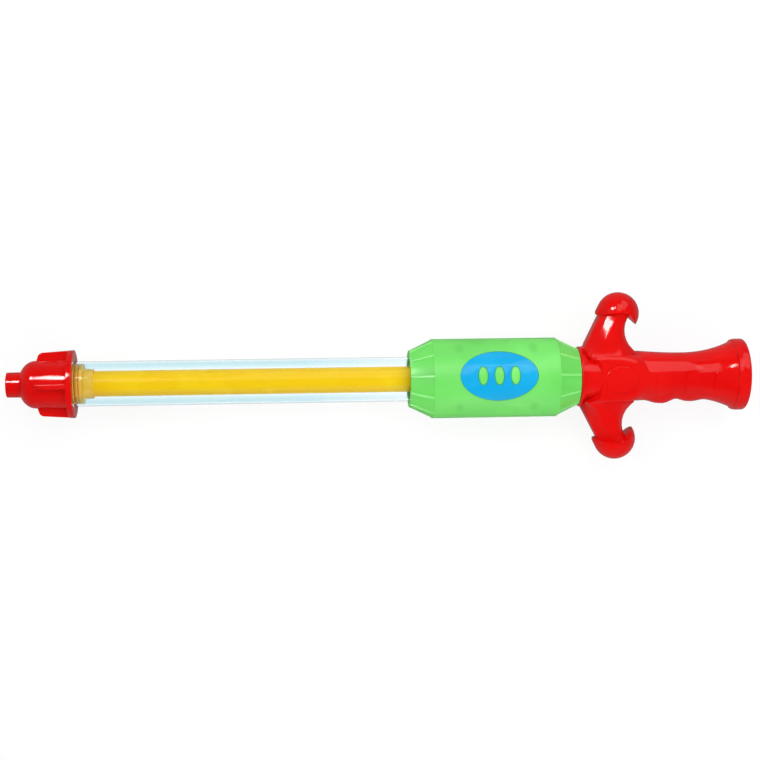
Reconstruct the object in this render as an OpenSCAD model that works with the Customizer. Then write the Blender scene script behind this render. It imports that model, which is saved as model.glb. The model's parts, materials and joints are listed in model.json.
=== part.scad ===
// Hand-pumped water squirter with a sword handle, lying on its side.
// X runs along the barrel from the nozzle to the pommel, Z is up, and the guard lies near the XY plane.

/* [Pose] */
// Turn of the handle about the barrel as it lies, degrees
handle_roll = 9; // [-14:1:14]
// Turn of the sleeve about the barrel, degrees
sleeve_roll = -3; // [-10:1:10]
// Turn of the nozzle cap about the barrel, degrees
cap_roll = 5; // [-20:1:20]

/* [Nozzle cap] */
// Length of the cap from the spout tip to the back of the flange
cap_l = 51.8; // [46:0.2:70]
// Spout diameter
spout_d = 18.6; // [16:0.5:24]
// Spout length
spout_l = 11; // [8:0.2:16]
// Jet hole diameter
orifice_d = 4; // [2:0.2:6]
// Wall at the spout tip, which is also the length of the jet hole
tip_wall = 3; // [2:0.5:5]
// Length of the domed shoulder behind the spout
dome_l = 10.7; // [8:0.5:13]
// Body wall over the tube, at the front of the body
cap_wall = 1; // [1:0.1:3]
// Growth of the body radius from front to flange
cap_taper = 1.15; // [0.5:0.1:2]
// Flange diameter
flange_d = 52.6; // [48:0.2:60]
// Flange thickness
flange_t = 4.6; // [3:0.1:8]
// Number of fins around the cap
fin_count = 4; // [2:1:8]
// Fin thickness
fin_t = 3.5; // [2:0.1:5]

/* [Barrel tube] */
// Outer diameter of the clear tube
tube_d = 34.6; // [30:0.2:40]
// Tube wall
tube_wall = 1.4; // [1:0.1:2.5]
// Length of tube seen between the cap and the sleeve
tube_clear_l = 258.2; // [200:0.2:320]
// Thickness of the rubber washer in the cap
washer_t = 1.5; // [1:0.1:3]

/* [Plunger] */
// Outer diameter of the plunger rod
rod_d = 20; // [15:0.2:22]
// Rod wall
rod_wall = 1.5; // [1:0.1:3]
// Diameter of the hub behind the piston
hub_d = 23.6; // [22:0.2:26]
// Length of that hub
hub_l = 7.6; // [4:0.1:12]
// Length of the piston in front of its hub
piston_l = 32.5; // [28:0.5:34]
// How far the piston's back plate stands behind the cap
piston_show = 7.1; // [6:0.1:20]
// Section diameter of the rubber rings
ring_d = 3.4; // [2:0.1:4]
// Length of the rod guide inside the tube, where the stroke ends
guide_nose_l = 16.2; // [10:0.1:40]

/* [Foregrip sleeve] */
// Sleeve length
sleeve_l = 132.7; // [110:0.5:160]
// Diameter of the middle part
sleeve_d = 62; // [56:0.2:72]
// Diameter at both ends
sleeve_end_d = 43.3; // [42:0.2:48]
// Length of each ribbed cone
cone_l = 17.3; // [12:0.1:22]
// Wall of the shells
sleeve_wall = 3; // [2.2:0.1:4]
// Height of the ribs on the cones
rib_h = 0.8; // [0.4:0.1:1.2]
// Thickness of those ribs
rib_t = 1.3; // [1:0.1:3]
// Ribs on each end of one shell
rib_count = 5; // [3:1:6]
// Angle between ribs, degrees
rib_pitch = 33; // [24:1:33]

/* [Inlay] */
// Length of the oval plate
inlay_l = 60; // [50:0.2:66]
// Width of the oval plate, measured straight across
inlay_w = 37.5; // [30:0.1:42]
// Thickness of the plate
inlay_t = 1.4; // [1:0.1:1.6]
// Length of each window along the sleeve
window_l = 8; // [5:0.1:9]
// Width of each window across the sleeve
window_w = 14.8; // [10:0.1:20]
// Distance between windows
window_pitch = 12.5; // [10.5:0.1:14]
// How far behind the middle of the sleeve the plate sits
inlay_shift = 1; // [-3:0.1:3]

/* [Handle] */
// Gap between the sleeve and the handle when the plunger is in
handle_gap = 0.4; // [0.3:0.1:2]
// Handle length
handle_l = 134; // [126:0.5:150]
// Collar diameter
collar_d = 46.6; // [44:0.2:52]
// Collar length
collar_l = 4.4; // [3:0.1:7]
// Diameter of the middle of the handle
boss_d = 40; // [38:0.2:43]
// Grip diameter where it starts
grip_d = 37.6; // [35:0.2:40]
// Grip diameter at its narrowest
neck_d = 35.2; // [33:0.2:38]
// Diameter at the end of the flare
flare_d = 51.2; // [44:0.2:52]
// Pommel diameter
pommel_d = 56; // [53:0.2:58]
// Pommel length
pommel_l = 12.6; // [10:0.1:18]
// Reach of the first finger hump below the grip's axis
front_hump_reach = 21.6; // [20:0.1:24]
// Reach of the second finger hump
mid_hump_reach = 20.3; // [19:0.1:24]
// Reach of the third finger hump, which stands on the flare
rear_hump_reach = 22.9; // [21:0.1:25]
// Distance between the finger humps
hump_pitch = 23; // [20:0.1:26]
// Length of the oval medallion
medal_l = 24.6; // [18:0.2:28]
// Width of the oval medallion
medal_w = 20.3; // [14:0.1:24]
// Wall of the handle shells
handle_wall = 2.4; // [2:0.1:2.8]

/* [Guard] */
// Distance of each guard ball from the barrel axis
ball_reach = 49.2; // [46:0.2:54]
// Radius of the guard balls
ball_r = 17.1; // [15:0.1:18]
// Place of the guard balls behind the collar
ball_x = 31.4; // [29:0.2:33]
// Half thickness of the guard arms in the middle
arm_t = 10; // [9:0.1:11]
// Half thickness of the guard's raised faces where the arms start
face_mid_h = 15.5; // [14:0.1:17]
// Half thickness of the raised faces at the balls
face_tip_h = 11.6; // [11:0.1:13]
// Radius of the round cut between arm and grip
hand_r = 20.3; // [19:0.1:21]

/* [Screws] */
// Shank diameter of the shell screws
screw_d = 3; // [2.5:0.1:3.5]
// Head diameter
screw_head_d = 5.8; // [5:0.1:6.4]
// Head height
screw_head_h = 2.2; // [1.6:0.1:2.6]
// Shank length
screw_l = 12; // [10:0.5:13]

/* [Fits] */
// Radial gap of pieces that are pushed together and stay put
seat_gap = 0.05; // [0.02:0.01:0.1]
// Radial gap of the rubber rings
seal_gap = 0.08; // [0.05:0.01:0.1]
// Radial gap of pieces that slide past each other
slide_gap = 0.3; // [0.2:0.05:0.4]

/* [Hidden] */
$fn = 96;

overall_l = cap_l + tube_clear_l + sleeve_l + handle_gap + handle_l;
axis_h = sleeve_d / 2;

// Places along the barrel
x_tip = -overall_l / 2;
x_cap_end = x_tip + cap_l;
x_sleeve = x_cap_end + tube_clear_l;
x_sleeve_end = x_sleeve + sleeve_l;
x_handle = x_sleeve_end + handle_gap;

// Radii
tube_r = tube_d / 2;
bore_r = tube_r - tube_wall;
rod_r = rod_d / 2;
rod_in_r = rod_r - rod_wall;
spout_r = spout_d / 2;
flange_r = flange_d / 2;
socket_r = tube_r + seat_gap;
sleeve_r = sleeve_d / 2;
sleeve_end_r = sleeve_end_d / 2;
screw_r = screw_d / 2;

// Cross slot and point of the screws
slot_l = 3.2;
slot_t = 0.7;
slot_h = 1.2;
screw_point = 2;
screw_chamfer = 0.8;

// Nozzle cap
cap_front_r = socket_r + cap_wall;
cap_back_r = cap_front_r + cap_taper;
dome_end = spout_l + dome_l;
socket_floor = dome_end + 1.6;
edge_round = 0.9;
fin_front = dome_end + 1;
fin_rise = 4.5;
fin_low_r = flange_r - 1.8;
fin_base_r = socket_r + cap_wall / 2;
spout_bore_r = spout_r - 2.4;
x_tube = x_tip + socket_floor + washer_t;

// Tube end and rod guide
end_wall = 5.6;
guide_flange_t = 4;
guide_flange_r = tube_r + 2.1;
x_tube_end = x_sleeve_end - end_wall - guide_flange_t;
x_guide = x_tube_end - guide_nose_l;

// Piston, measured forward from its back plate
x_plate = x_cap_end + piston_show;
x_piston = x_plate - piston_l;
x_hub_end = x_plate + hub_l;
land_t = 3;
groove_w = ring_d + 0.2;
land_r = bore_r - slide_gap;
ring_mid_r = bore_r - seal_gap - ring_d / 2;
groove_r = ring_mid_r - ring_d / 2 - seal_gap;
waist_r = rod_r + 1.4;
rear_groove = piston_l - land_t - groove_w;
front_groove = land_t;
rod_in_piston = 9;
x_rod = x_plate - rod_in_piston;
piston_screw_l = 30;
piston_screw_seat = 4;

// Rod in the handle, measured back from the collar's face
rod_in_handle = 54;
x_rod_end = x_handle + rod_in_handle;
front_plug_l = 14;
rear_plug_l = 34;
pin_r = 2.5;
pin_half_l = 15;
pin_x = 30.2;

// Sleeve
skin_end_r = sleeve_end_r - rib_h;
skin_shoulder_r = sleeve_r - rib_h;
rim_l = 1.5;
cone_slope = (skin_shoulder_r - skin_end_r) / (cone_l - rim_l);
sleeve_in_r = sleeve_r - sleeve_wall;
inlay_floor_r = sleeve_r - 1.6;
web_t = 4;
front_wall = 4;
web_inset = 8;
boss_x = 29;
boss_y = (socket_r + sleeve_in_r) / 2;
boss_r = 3.6;
stud_gap = 0.6;

// Handle
medal_x = pin_x;
medal_top = boss_d / 2 + 0.6;
grip_x = 48;
neck_x = 82.7;
flare_x = handle_l - pommel_l;
hump_x = 65.5;
hump_shift = 2;
hump_reach = [front_hump_reach, mid_hump_reach, rear_hump_reach];
hump_half_l = 6.8;
hump_round = 22;
pommel_edge = 2;
pommel_dome = 1.2;
flare_curve = 2.4;
collar_wall = 3;
pin_web = 7;
rod_web = 5;
room_gap = 3;
room_flare = 14;
room_step = 2;
arm_mid_x = 27;
arm_crown_r = 60;
hand_x = 55.9;
hand_y = 37.3;
hook_floor = ball_reach - 0.4;
hook_lip = 1.6;
hook_flat = 5.1;
arch_r = 48.8;
arch_rise = 4;
notch_back = 8.3;
notch_drop = 2.9;
beak_back = 15.8;
beak_drop = 9.5;
arm_lean = 11.9;
face_front = medal_x - 13;
face_end = 47;
face_step = 13;
face_inset = 3;
face_cut_r = hand_r + 7;
arm_screw_y = 34;
front_screw_x = 68;
rear_screw_x = 102;
screw_seat = 6;

function arc(c, r, a0, a1, n) = [for (i = [0:n])
    let (a = a0 + (a1 - a0) * i / n) c + r * [cos(a), sin(a)]];
function oval(l, w, n = 60) = [for (i = [0:n - 1]) [l / 2 * cos(360 * i / n), w / 2 * sin(360 * i / n)]];

// Puts children that are drawn about the barrel axis at their height and turn
module placed(roll = 0) {
    translate([0, 0, axis_h])
        rotate([roll, 0, 0])
            children();
}

// Turns a shape drawn about Z so that it runs along the barrel from x
module along(x) {
    translate([x, 0, 0])
        rotate([0, 90, 0])
            children();
}

module ring(x, l, r_out, r_in) {
    along(x)
        difference() {
            cylinder(h = l, r = r_out);
            translate([0, 0, -1])
                cylinder(h = l + 2, r = r_in);
        }
}

// Keeps one half of a shape: side 1 is above the parting plane, -1 is below
module half(side) {
    intersection() {
        children();
        translate([-overall_l, -overall_l, side > 0 ? 0 : -overall_l])
            cube([2 * overall_l, 2 * overall_l, overall_l]);
    }
}

// Nozzle cap
module cap_body() {
    outer = concat(
        [[orifice_d / 2, 0]],
        arc([spout_r - edge_round, edge_round], edge_round, -90, 0, 4),
        [[spout_r, spout_l]],
        [for (i = [0:8]) [
            spout_r + 0.4 + (cap_front_r - spout_r - 0.4) * sin(90 * i / 8),
            spout_l + dome_l * (1 - cos(90 * i / 8))]],
        [[cap_back_r, cap_l - flange_t]],
        arc([flange_r - edge_round, cap_l - flange_t + edge_round], edge_round, -90, 0, 4),
        arc([flange_r - edge_round, cap_l - edge_round], edge_round, 0, 90, 4));
    inner = [
        [socket_r, cap_l],
        [socket_r, socket_floor],
        [bore_r - 0.6, socket_floor],
        [bore_r - 0.6, dome_end - 1],
        [spout_bore_r, spout_l + 1],
        [spout_bore_r, tip_wall],
        [orifice_d / 2, tip_wall]];
    rotate_extrude()
        polygon(concat(outer, inner));
}

module cap_fin() {
    rotate([90, 0, 0])
        linear_extrude(fin_t, center = true)
            polygon([
                [fin_base_r, fin_front],
                [fin_low_r - 3, fin_front + 1],
                [fin_low_r - 1, fin_front + 2.4],
                [fin_low_r, fin_front + fin_rise],
                [flange_r - 0.3, cap_l - flange_t + edge_round],
                [fin_base_r, cap_l - flange_t + edge_round]]);
}

module nozzle_cap() {
    color("#e60e0c")
        placed(cap_roll)
            along(x_tip) {
                cap_body();
                for (i = [0:fin_count - 1])
                    rotate([0, 0, 360 * i / fin_count])
                        cap_fin();
            }
}

module nozzle_washer() {
    color("#2a2a2a")
        placed()
            ring(x_tip + socket_floor, washer_t, tube_r, bore_r);
}

// Barrel tube and rod guide
module barrel_tube() {
    color("#c8e6f0", 0.4)
        placed()
            ring(x_tube, x_tube_end - x_tube, tube_r, bore_r);
}

module rod_guide() {
    nose_r = bore_r - seat_gap;
    guide_bore_r = rod_r + slide_gap;
    color("#f4f4f0")
        placed()
            along(x_guide)
                rotate_extrude()
                    polygon([
                        [guide_bore_r, 0],
                        [nose_r - 1, 0],
                        [nose_r, 1],
                        [nose_r, guide_nose_l],
                        [guide_flange_r, guide_nose_l],
                        [guide_flange_r, guide_nose_l + guide_flange_t],
                        [guide_bore_r, guide_nose_l + guide_flange_t]]);
}

// Foregrip sleeve
module sleeve_skin() {
    along(x_sleeve)
        rotate_extrude()
            polygon([
                [0, 0],
                [sleeve_end_r, 0],
                [sleeve_end_r, rim_l],
                [skin_end_r, rim_l],
                [skin_shoulder_r, cone_l],
                [sleeve_r, cone_l],
                [sleeve_r, sleeve_l - cone_l],
                [skin_shoulder_r, sleeve_l - cone_l],
                [skin_end_r, sleeve_l - rim_l],
                [sleeve_end_r, sleeve_l - rim_l],
                [sleeve_end_r, sleeve_l],
                [0, sleeve_l]]);
}

// One rib of the front cone, facing up
module cone_rib() {
    translate([x_sleeve, 0, 0])
        rotate([90, 0, 0])
            linear_extrude(rib_t, center = true)
                polygon([
                    [rim_l / 2, skin_end_r - 1],
                    [rim_l / 2, sleeve_end_r],
                    [rim_l, sleeve_end_r],
                    [cone_l, sleeve_r],
                    [cone_l + 1, sleeve_r],
                    [cone_l + 1, skin_shoulder_r - 1]]);
}

module cone_ribs() {
    for (i = [0:rib_count - 1])
        rotate([rib_pitch * (i - (rib_count - 1) / 2), 0, 0])
            cone_rib();
}

// Ribs of one shell, on both of its ends
module shell_ribs(side) {
    rotate([side > 0 ? 0 : 180, 0, 0]) {
        cone_ribs();
        translate([2 * x_sleeve + sleeve_l, 0, 0])
            mirror([1, 0, 0])
                cone_ribs();
    }
}

// Room inside the sleeve: three chambers between webs, the tube, the guide's flange and the rod
module sleeve_room() {
    mid = sleeve_l / 2;
    back = sleeve_l - end_wall - guide_flange_t - web_t;
    slant_r = sleeve_in_r - cone_slope * (cone_l - front_wall);
    back_r = sleeve_in_r - cone_slope * (back - sleeve_l + cone_l);
    along(x_sleeve) {
        rotate_extrude()
            polygon([
                [0, front_wall],
                [slant_r, front_wall],
                [sleeve_in_r, cone_l],
                [sleeve_in_r, mid - boss_x + web_inset],
                [0, mid - boss_x + web_inset]]);
        translate([0, 0, mid - boss_x + web_inset + web_t])
            cylinder(h = 2 * (boss_x - web_inset - web_t), r = sleeve_in_r);
        rotate_extrude()
            polygon([
                [0, mid + boss_x - web_inset],
                [sleeve_in_r, mid + boss_x - web_inset],
                [sleeve_in_r, sleeve_l - cone_l],
                [back_r, back],
                [0, back]]);
        translate([0, 0, -1])
            cylinder(h = x_tube_end - x_sleeve + 1, r = socket_r);
        translate([0, 0, x_tube_end - x_sleeve])
            cylinder(h = guide_flange_t, r = guide_flange_r + seat_gap);
        cylinder(h = sleeve_l + 1, r = rod_r + 2 * slide_gap);
    }
}

// Places children at the four screws of the sleeve
module at_sleeve_screws() {
    for (x = [-boss_x, boss_x])
        for (y = [-boss_y, boss_y])
            translate([x_sleeve + sleeve_l / 2 + x, y, 0])
                children();
}

// A screw boss, with its foot trimmed to the outside of what it stands in
module screw_boss(h) {
    cylinder(h = 2 * h, r = boss_r, center = true);
}

// What a screw needs cut away: pilot above the parting plane, clearance and head room below
module screw_cut() {
    cylinder(h = screw_l - screw_seat + 1, r = screw_r + seat_gap);
    translate([0, 0, -screw_seat - 1])
        cylinder(h = screw_seat + 1.5, r = screw_r + slide_gap);
    translate([0, 0, -overall_l / 4])
        cylinder(h = overall_l / 4 - screw_seat, r = screw_head_d / 2 + slide_gap);
}

// The oval recess for an inlay on one side, less the studs that fill its windows
module inlay_recess(side) {
    translate([x_sleeve + sleeve_l / 2 + inlay_shift, 0, 0])
        rotate([side > 0 ? 0 : 180, 0, 0])
            difference() {
                linear_extrude(sleeve_d)
                    polygon(oval(inlay_l + 4 * seat_gap, inlay_w + 4 * seat_gap));
                rotate([0, 90, 0])
                    cylinder(h = sleeve_l, r = inlay_floor_r, center = true);
                for (i = [-1:1])
                    translate([i * window_pitch, 0, 0])
                        linear_extrude(sleeve_d)
                            polygon(oval(window_l - 2 * stud_gap, window_w - 2 * stud_gap, 36));
            }
}

module sleeve_shell(side) {
    difference() {
        half(side)
            union() {
                difference() {
                    union() {
                        sleeve_skin();
                        shell_ribs(side);
                    }
                    sleeve_room();
                }
                intersection() {
                    sleeve_skin();
                    at_sleeve_screws()
                        screw_boss(sleeve_r);
                }
            }
        inlay_recess(side);
        at_sleeve_screws()
            screw_cut();
    }
}

module sleeve_upper_shell() {
    color("#7cf06c")
        placed(sleeve_roll)
            sleeve_shell(1);
}

module sleeve_lower_shell() {
    color("#7cf06c")
        placed(sleeve_roll)
            sleeve_shell(-1);
}

module inlay(side) {
    translate([x_sleeve + sleeve_l / 2 + inlay_shift, 0, 0])
        rotate([side > 0 ? 0 : 180, 0, 0])
            difference() {
                intersection() {
                    linear_extrude(sleeve_d)
                        polygon(oval(inlay_l, inlay_w));
                    rotate([0, 90, 0])
                        cylinder(h = sleeve_l, r = inlay_floor_r + inlay_t, center = true);
                }
                rotate([0, 90, 0])
                    cylinder(h = sleeve_l, r = inlay_floor_r, center = true);
                for (i = [-1:1])
                    translate([i * window_pitch, 0, 0])
                        linear_extrude(sleeve_d)
                            polygon(oval(window_l, window_w, 36));
            }
}

module inlay_upper() {
    color("#12b4ee")
        placed(sleeve_roll)
            inlay(1);
}

module inlay_lower() {
    color("#12b4ee")
        placed(sleeve_roll)
            inlay(-1);
}

// A self-tapping screw pointing up, with its head's seat at the screw seat
module screw() {
    translate([0, 0, -screw_seat])
        difference() {
            rotate_extrude()
                polygon([
                    [0, -screw_head_h],
                    [screw_head_d / 2 - screw_chamfer, -screw_head_h],
                    [screw_head_d / 2, -screw_head_h + screw_chamfer],
                    [screw_head_d / 2, 0],
                    [screw_r, 0],
                    [screw_r, screw_l - screw_point],
                    [0.4, screw_l],
                    [0, screw_l]]);
            for (a = [0, 90])
                rotate([0, 0, a])
                    translate([-slot_l / 2, -slot_t / 2, -screw_head_h - slot_h])
                        cube([slot_l, slot_t, 2 * slot_h]);
        }
}

module sleeve_screws() {
    color("#b8bcc2")
        placed(sleeve_roll)
            at_sleeve_screws()
                screw();
}

// Plunger
module seal(x) {
    color("#b98a4a")
        placed()
            along(x)
                rotate_extrude()
                    translate([ring_mid_r, 0])
                        circle(r = ring_d / 2);
}

module front_seal() {
    seal(x_piston + front_groove + groove_w / 2);
}

module rear_seal() {
    seal(x_piston + rear_groove + groove_w / 2);
}

module piston_head() {
    screw_room_r = screw_head_d / 2 + slide_gap;
    color("#e8be46")
        placed()
            along(x_piston)
                rotate_extrude()
                    polygon([
                        [screw_room_r, 0],
                        [land_r - 0.6, 0],
                        [land_r, 0.6],
                        [land_r, front_groove],
                        [groove_r, front_groove],
                        [groove_r, front_groove + groove_w],
                        [land_r, front_groove + groove_w],
                        [land_r, front_groove + groove_w + land_t],
                        [waist_r, front_groove + groove_w + land_t],
                        [waist_r, rear_groove - land_t],
                        [land_r, rear_groove - land_t],
                        [land_r, rear_groove],
                        [groove_r, rear_groove],
                        [groove_r, piston_l - land_t],
                        [land_r, piston_l - land_t],
                        [land_r, piston_l],
                        [hub_d / 2, piston_l],
                        [hub_d / 2, piston_l + hub_l],
                        [rod_r + seat_gap, piston_l + hub_l],
                        [rod_r + seat_gap, piston_l - rod_in_piston],
                        [screw_r + seat_gap, piston_l - rod_in_piston],
                        [screw_r + seat_gap, piston_screw_seat],
                        [screw_room_r, piston_screw_seat]]);
}

module piston_screw() {
    color("#b8bcc2")
        placed()
            along(x_piston + piston_screw_seat)
                difference() {
                    rotate_extrude()
                        polygon([
                            [0, -screw_head_h],
                            [screw_head_d / 2 - screw_chamfer, -screw_head_h],
                            [screw_head_d / 2, -screw_head_h + screw_chamfer],
                            [screw_head_d / 2, 0],
                            [screw_r, 0],
                            [screw_r, piston_screw_l - screw_point],
                            [0.4, piston_screw_l],
                            [0, piston_screw_l]]);
                    for (a = [0, 90])
                        rotate([0, 0, a])
                            translate([-slot_l / 2, -slot_t / 2, -screw_head_h - slot_h])
                                cube([slot_l, slot_t, 2 * slot_h]);
                }
}

module rod_front_plug() {
    color("#f4f4f0")
        placed()
            ring(x_rod, front_plug_l, rod_in_r - seat_gap, screw_r + seat_gap);
}

// Places children, drawn along Z, at the pin that crosses the rod
module at_pin() {
    translate([x_handle + pin_x, 0, 0])
        children();
}

module plunger_rod() {
    color("#fcd41e")
        placed(handle_roll)
            difference() {
                ring(x_rod, x_rod_end - x_rod, rod_r, rod_in_r);
                at_pin()
                    cylinder(h = 2 * rod_d, r = pin_r + seat_gap, center = true);
            }
}

module rod_rear_plug() {
    color("#f4f4f0")
        placed(handle_roll)
            difference() {
                along(x_rod_end - rear_plug_l)
                    cylinder(h = rear_plug_l, r = rod_in_r - seat_gap);
                at_pin()
                    cylinder(h = 2 * rod_d, r = pin_r + seat_gap, center = true);
            }
}

module rod_cross_pin() {
    color("#b8bcc2")
        placed(handle_roll)
            at_pin()
                cylinder(h = 2 * pin_half_l, r = pin_r, center = true);
}

// Handle
module handle_core() {
    flare_steps = 8;
    flare = [for (i = [1:flare_steps]) [
        (neck_d + (flare_d - neck_d) * pow(i / flare_steps, flare_curve)) / 2,
        neck_x + (flare_x - neck_x) * i / flare_steps]];
    edge = [for (i = [0:4]) [
        pommel_d / 2 - pommel_edge * (1 - cos(90 * i / 4)),
        handle_l - pommel_dome - pommel_edge * (1 - sin(90 * i / 4))]];
    crown = [for (i = [7:-1:0]) [
        (pommel_d / 2 - pommel_edge) * i / 8,
        handle_l - pommel_dome * pow(i / 8, 2)]];
    along(x_handle)
        rotate_extrude()
            polygon(concat(
                [[0, 0],
                [collar_d / 2 - 0.6, 0],
                [collar_d / 2, 0.6],
                [collar_d / 2, collar_l],
                [boss_d / 2, collar_l],
                [boss_d / 2, medal_x + 2],
                [grip_d / 2, grip_x],
                [neck_d / 2, neck_x]],
                flare,
                [[pommel_d / 2 - 0.5, flare_x],
                [pommel_d / 2, flare_x + 1]],
                edge,
                crown));
}

// A finger hump: a rounded ring that stands out below the grip
module finger_hump(i) {
    translate([0, -hump_shift, 0])
        along(x_handle + hump_x + hump_pitch * i)
            rotate_extrude()
                intersection() {
                    translate([hump_reach[i] - hump_shift - hump_round, 0])
                        circle(r = hump_round);
                    translate([0, -hump_half_l])
                        square([hump_reach[i], 2 * hump_half_l]);
                }
}

// Outline of one guard arm, growing inward by the inset
module arm_outline(inset) {
    difference() {
        polygon([
            [collar_l + inset, inset > 0 ? boss_d / 2 : 0],
            [collar_l + inset, collar_d / 2],
            [collar_l + arm_lean + inset, hook_floor - inset],
            [hand_x, hook_floor - inset],
            [hand_x, inset > 0 ? boss_d / 2 : 0]]);
        translate([hand_x, hand_y])
            circle(r = hand_r + inset);
    }
}

// One guard arm with crowned faces; a positive inset gives the room inside it
module guard_arm(inset) {
    intersection() {
        translate([0, 0, -arm_t])
            linear_extrude(2 * arm_t)
                arm_outline(inset);
        arm_crown(1, inset);
        arm_crown(-1, inset);
    }
}

// A large round bar that crowns one face of the arm
module arm_crown(side, inset) {
    translate([arm_mid_x, -1, side * (arm_t - arm_crown_r)])
        rotate([-90, 0, 0])
            cylinder(h = ball_reach + ball_r + 2, r = arm_crown_r - inset);
}

// The hooked ball at the end of an arm; a positive inset gives the room inside it
module guard_ball(inset) {
    difference() {
        translate([ball_x, ball_reach, 0])
            sphere(r = ball_r - inset);
        translate([0, inset, -ball_r - 1])
            linear_extrude(2 * ball_r + 2)
                polygon([
                    [ball_x - 2 * ball_r, hook_floor + hook_lip],
                    [ball_x - ball_r + 1, hook_floor],
                    [ball_x + hook_flat, hook_floor],
                    [ball_x + notch_back, hook_floor - notch_drop],
                    [ball_x + beak_back, hook_floor - beak_drop],
                    [ball_x + 2 * ball_r, hook_floor - beak_drop],
                    [ball_x + 2 * ball_r, -ball_r],
                    [ball_x - 2 * ball_r, -ball_r]]);
        for (side = [0, 1])
            mirror([0, 0, side])
                hook_arch(inset);
    }
}

// What arches the floor of the hook outside the arm's raised face
module hook_arch(inset) {
    translate([ball_x - 2 * ball_r, inset, 0])
        difference() {
            translate([0, 0, face_tip_h])
                cube([2 * ball_r + hook_flat, hook_floor + arch_rise, ball_r]);
            translate([-1, hook_floor + arch_r, 0])
                rotate([0, 90, 0])
                    cylinder(h = 2 * ball_r + hook_flat + 2, r = arch_r);
        }
}

// Outline of the raised face of one arm, growing inward by the inset
module face_outline(inset) {
    difference() {
        polygon([
            [face_front + inset, inset > 0 ? boss_d / 2 : 0],
            [face_front + inset, inset > 0 ? boss_d / 2 : face_step],
            [collar_l + face_inset + inset, inset > 0 ? boss_d / 2 : face_step + 2],
            [collar_l + face_inset + inset, collar_d / 2],
            [collar_l + arm_lean + face_inset + inset, hook_floor - inset],
            [face_end - inset, hook_floor - inset],
            [face_end - inset, inset > 0 ? boss_d / 2 : 0]]);
        translate([hand_x, hand_y])
            circle(r = face_cut_r + inset);
    }
}

// The raised faces of one arm, sloping from the medallion to the ball, or the room inside them
module guard_face(inset) {
    top = medal_top - 0.3 - inset;
    mid = face_mid_h - inset;
    tip = face_tip_h - inset;
    mid_y = boss_d / 2 + 6;
    intersection() {
        translate([0, 0, -medal_top])
            linear_extrude(2 * medal_top)
                face_outline(inset);
        rotate([90, 0, 90])
            linear_extrude(hand_x)
                polygon([
                    [0, top], [0, -top], [mid_y, -mid], [ball_reach, -tip],
                    [ball_reach, tip], [mid_y, mid]]);
    }
}

module medallion() {
    translate([x_handle + medal_x, 0, -medal_top])
        linear_extrude(2 * medal_top)
            polygon(oval(medal_l, medal_w, 48));
}

module both_arms() {
    for (side = [0, 1])
        translate([x_handle, 0, 0])
            mirror([0, side, 0])
                children();
}

module handle_form() {
    handle_core();
    for (i = [0:2])
        finger_hump(i);
    both_arms() {
        guard_arm(0);
        guard_face(0);
        guard_ball(0);
    }
    medallion();
}

// Room inside the handle: the rod's socket, chambers between webs, the grip, the arms and the balls
module handle_room() {
    boss_room_r = boss_d / 2 - handle_wall;
    neck_room_r = neck_d / 2 - handle_wall;
    end_room = handle_l - pommel_dome - handle_wall;
    along(x_handle) {
        translate([0, 0, -1])
            cylinder(h = rod_in_handle + 1, r = rod_r + seat_gap);
        translate([0, 0, collar_wall])
            cylinder(h = medal_x - pin_web - collar_wall, r = boss_room_r);
        translate([0, 0, medal_x + pin_web])
            cylinder(h = rod_in_handle - rod_web - medal_x - pin_web, r = neck_room_r);
        rotate_extrude()
            polygon([
                [0, rod_in_handle + room_gap],
                [neck_room_r, rod_in_handle + room_gap],
                [neck_room_r, neck_x + room_flare],
                [flare_d / 2 - handle_wall - room_step, flare_x - room_step],
                [flare_d / 2 - handle_wall, end_room - room_step],
                [flare_d / 2 - handle_wall - room_step, end_room],
                [0, end_room]]);
    }
    both_arms() {
        guard_arm(handle_wall);
        guard_face(handle_wall);
        guard_ball(handle_wall);
    }
    at_pin()
        cylinder(h = 2 * pin_half_l, r = pin_r + seat_gap, center = true);
}

module at_handle_screws() {
    for (side = [-1, 1])
        translate([x_handle + arm_mid_x, side * arm_screw_y, 0])
            children();
    for (x = [front_screw_x, rear_screw_x])
        translate([x_handle + x, 0, 0])
            children();
}

module handle_shell(side) {
    difference() {
        half(side)
            union() {
                difference() {
                    handle_form();
                    handle_room();
                }
                intersection() {
                    handle_form();
                    at_handle_screws()
                        screw_boss(boss_d);
                }
            }
        at_handle_screws()
            screw_cut();
    }
}

module handle_upper_shell() {
    color("#e60e0c")
        placed(handle_roll)
            handle_shell(1);
}

module handle_lower_shell() {
    color("#e60e0c")
        placed(handle_roll)
            handle_shell(-1);
}

module handle_screws() {
    color("#b8bcc2")
        placed(handle_roll)
            at_handle_screws()
                screw();
}

barrel_tube();
nozzle_cap();
nozzle_washer();
rod_guide();
sleeve_upper_shell();
sleeve_lower_shell();
inlay_upper();
inlay_lower();
sleeve_screws();
front_seal();
rear_seal();
piston_head();
piston_screw();
rod_front_plug();
plunger_rod();
rod_rear_plug();
rod_cross_pin();
handle_upper_shell();
handle_lower_shell();
handle_screws();
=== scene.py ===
import json
import math
import bmesh
import bpy
from mathutils import Matrix, Vector

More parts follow.
